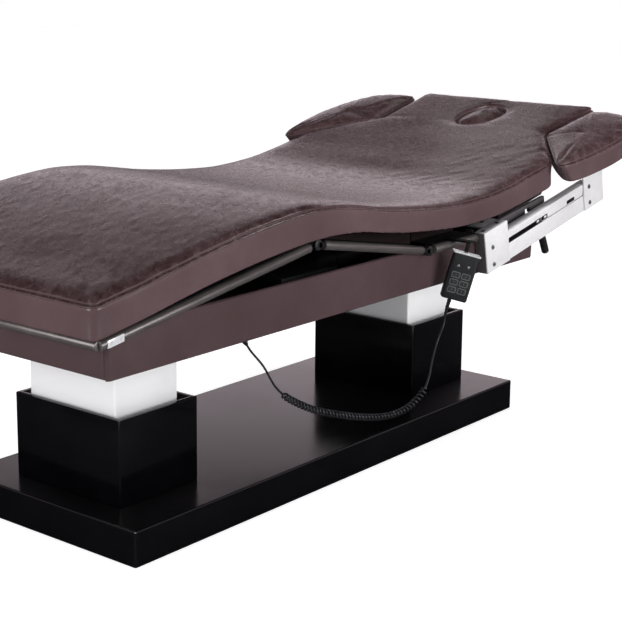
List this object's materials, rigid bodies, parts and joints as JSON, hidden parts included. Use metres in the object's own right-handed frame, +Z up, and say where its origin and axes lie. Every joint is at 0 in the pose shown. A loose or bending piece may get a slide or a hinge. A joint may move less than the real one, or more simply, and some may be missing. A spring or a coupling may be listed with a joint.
{
  "type": "massage table",
  "caption": "Padded massage table on two lift columns and a plinth, with tilting leg and back sections, face hole, swinging armrests and a corded handset.",
  "frame": {"origin": "on the floor, under the middle of the table's overall length and width", "axes": "+X from the foot end to the head end, +Y across the table to the right of a person who lies face up, +Z up"},
  "size_m": [2.026, 0.982, 0.7884],
  "materials": {
    "leather": "satin",
    "lacquer": "gloss",
    "white_paint": "satin",
    "aluminium": "satin",
    "black_steel": "satin",
    "grey_steel": "satin",
    "polished_steel": "polished",
    "board": "matte",
    "black_plastic": "satin",
    "button_plastic": "satin",
    "cord_rubber": "matte"
  },
  "bodies": {
    "base": {"base_plate": "black_steel", "plinth_cover": "lacquer", "casing_foot": "lacquer", "casing_head": "lacquer", "lift_outer_foot": "aluminium", "lift_outer_head": "aluminium"},
    "deck": {"lift_inner_foot": "aluminium", "lift_inner_head": "aluminium", "column_cover_foot": "white_paint", "column_cover_head": "white_paint", "deck_board": "board", "spine": "black_steel", "skirt_left": "leather", "skirt_right": "leather", "skirt_foot": "leather", "skirt_head": "leather", "seat_frame": "grey_steel", "seat_board": "board", "seat_pad": "leather", "control_box": "black_plastic", "leg_actuator": "black_plastic", "back_actuator": "black_plastic", "back_fold": "leather", "handset_hook": "polished_steel", "handset_shell": "black_plastic", "cord_gland": "black_plastic", "cord_lead": "cord_rubber", "cord_curls": "cord_rubber", "cord_handset_lead": "cord_rubber"},
    "thigh": {"thigh_frame": "grey_steel", "thigh_board": "board", "thigh_pad": "leather", "knee_fold": "leather"},
    "calf": {"calf_frame": "grey_steel", "calf_board": "board", "calf_pad": "leather"},
    "back": {"back_frame": "grey_steel", "back_board": "board", "back_pad": "leather", "armrest_bracket_left": "polished_steel", "armrest_bracket_right": "polished_steel"},
    "leg_rod": {"leg_actuator_rod": "polished_steel"},
    "back_rod": {"back_actuator_rod": "polished_steel"},
    "face_plug": {"face_plug": "leather"},
    "armrest_upper_left": {"armrest_link_upper_left": "polished_steel"},
    "armrest_lower_left": {"armrest_link_lower_left": "polished_steel"},
    "armrest_left": {"armrest_carrier_left": "polished_steel", "armrest_pad_left": "leather"},
    "lever_left": {"clamp_lever_left": "black_plastic"},
    "armrest_upper_right": {"armrest_link_upper_right": "polished_steel"},
    "armrest_lower_right": {"armrest_link_lower_right": "polished_steel"},
    "armrest_right": {"armrest_carrier_right": "polished_steel", "armrest_pad_right": "leather"},
    "lever_right": {"clamp_lever_right": "black_plastic"},
    "button_lift_up": {"button_lift_up": "button_plastic"},
    "button_lift_down": {"button_lift_down": "button_plastic"},
    "button_back_up": {"button_back_up": "button_plastic"},
    "button_back_down": {"button_back_down": "button_plastic"},
    "button_legs_up": {"button_legs_up": "button_plastic"},
    "button_legs_down": {"button_legs_down": "button_plastic"}
  },
  "joints": [
    {"name": "lift", "type": "slide", "parent": "base", "child": "deck", "axis": [0, 0, 1], "range_m": [-0.05, 0.18]},
    {"name": "back_tilt", "type": "hinge", "parent": "deck", "child": "back", "pos_m": [0.283, 0, 0.54], "axis": [0, -1, 0], "range_deg": [-11, 49], "deforming": ["back_fold"]},
    {"name": "thigh_tilt", "type": "hinge", "parent": "deck", "child": "thigh", "pos_m": [0.043, 0, 0.54], "axis": [0, 1, 0], "range_deg": [-10, 0]},
    {"name": "calf_tilt", "type": "hinge", "parent": "thigh", "child": "calf", "pos_m": [-0.367, 0, 0.616], "axis": [0, 1, 0], "range_deg": [0, 17.8], "deforming": ["knee_fold"]},
    {"name": "leg_rod_slide", "type": "slide", "parent": "deck", "child": "leg_rod", "axis": [1, 0, 0], "range_m": [0, 0.0106]},
    {"name": "back_rod_slide", "type": "slide", "parent": "deck", "child": "back_rod", "axis": [1, 0, 0], "range_m": [-0.0116, 0.0512]},
    {"name": "face_plug_lift", "type": "slide", "parent": "back", "child": "face_plug", "axis": [-0.1961, 0, 0.9806], "range_m": [0, 0.12]},
    {"name": "armrest_swing_left", "type": "hinge", "parent": "back", "child": "armrest_lower_left", "pos_m": [0.30006, -0.3964, 0.46999], "axis": [0, -1, 0], "range_deg": [-15, 5]},
    {"name": "armrest_upper_link_left", "type": "hinge", "parent": "back", "child": "armrest_upper_left", "pos_m": [0.29143, -0.3964, 0.51313], "axis": [0, -1, 0], "range_deg": [-15, 5]},
    {"name": "armrest_carrier_left", "type": "hinge", "parent": "armrest_lower_left", "child": "armrest_left", "pos_m": [0.76388, -0.3964, 0.56275], "axis": [0, -1, 0], "range_deg": [-5, 15]},
    {"name": "clamp_lever_left", "type": "hinge", "parent": "armrest_lower_left", "child": "lever_left", "pos_m": [0.57561, -0.3964, 0.5251], "axis": [0, -1, 0], "range_deg": [-20, 40]},
    {"name": "armrest_swing_right", "type": "hinge", "parent": "back", "child": "armrest_lower_right", "pos_m": [0.30006, 0.3964, 0.46999], "axis": [0, -1, 0], "range_deg": [-15, 5]},
    {"name": "armrest_upper_link_right", "type": "hinge", "parent": "back", "child": "armrest_upper_right", "pos_m": [0.29143, 0.3964, 0.51313], "axis": [0, -1, 0], "range_deg": [-15, 5]},
    {"name": "armrest_carrier_right", "type": "hinge", "parent": "armrest_lower_right", "child": "armrest_right", "pos_m": [0.76388, 0.3964, 0.56275], "axis": [0, -1, 0], "range_deg": [-5, 15]},
    {"name": "clamp_lever_right", "type": "hinge", "parent": "armrest_lower_right", "child": "lever_right", "pos_m": [0.57561, 0.3964, 0.5251], "axis": [0, -1, 0], "range_deg": [-20, 40]},
    {"name": "press_lift_up", "type": "slide", "parent": "deck", "child": "button_lift_up", "axis": [0.7361, 0.6769, 0], "range_m": [0, 0.0008], "stiffness_N_per_m": 300, "springref_m": -0.001},
    {"name": "press_lift_down", "type": "slide", "parent": "deck", "child": "button_lift_down", "axis": [0.7361, 0.6769, 0], "range_m": [0, 0.0008], "stiffness_N_per_m": 300, "springref_m": -0.001},
    {"name": "press_back_up", "type": "slide", "parent": "deck", "child": "button_back_up", "axis": [0.7361, 0.6769, 0], "range_m": [0, 0.0008], "stiffness_N_per_m": 300, "springref_m": -0.001},
    {"name": "press_back_down", "type": "slide", "parent": "deck", "child": "button_back_down", "axis": [0.7361, 0.6769, 0], "range_m": [0, 0.0008], "stiffness_N_per_m": 300, "springref_m": -0.001},
    {"name": "press_legs_up", "type": "slide", "parent": "deck", "child": "button_legs_up", "axis": [0.7361, 0.6769, 0], "range_m": [0, 0.0008], "stiffness_N_per_m": 300, "springref_m": -0.001},
    {"name": "press_legs_down", "type": "slide", "parent": "deck", "child": "button_legs_down", "axis": [0.7361, 0.6769, 0], "range_m": [0, 0.0008], "stiffness_N_per_m": 300, "springref_m": -0.001}
  ],
  "couplings": [
    {"joint": "calf_tilt", "follows": "thigh_tilt", "ratio": -1.77},
    {"joint": "leg_rod_slide", "follows": "thigh_tilt", "m_per_rad": -0.0597},
    {"joint": "back_rod_slide", "follows": "back_tilt", "m_per_rad": 0.0597},
    {"joint": "armrest_upper_link_left", "follows": "armrest_swing_left", "ratio": 1},
    {"joint": "armrest_carrier_left", "follows": "armrest_swing_left", "ratio": -1},
    {"joint": "armrest_upper_link_right", "follows": "armrest_swing_right", "ratio": 1},
    {"joint": "armrest_carrier_right", "follows": "armrest_swing_right", "ratio": -1}
  ]
}
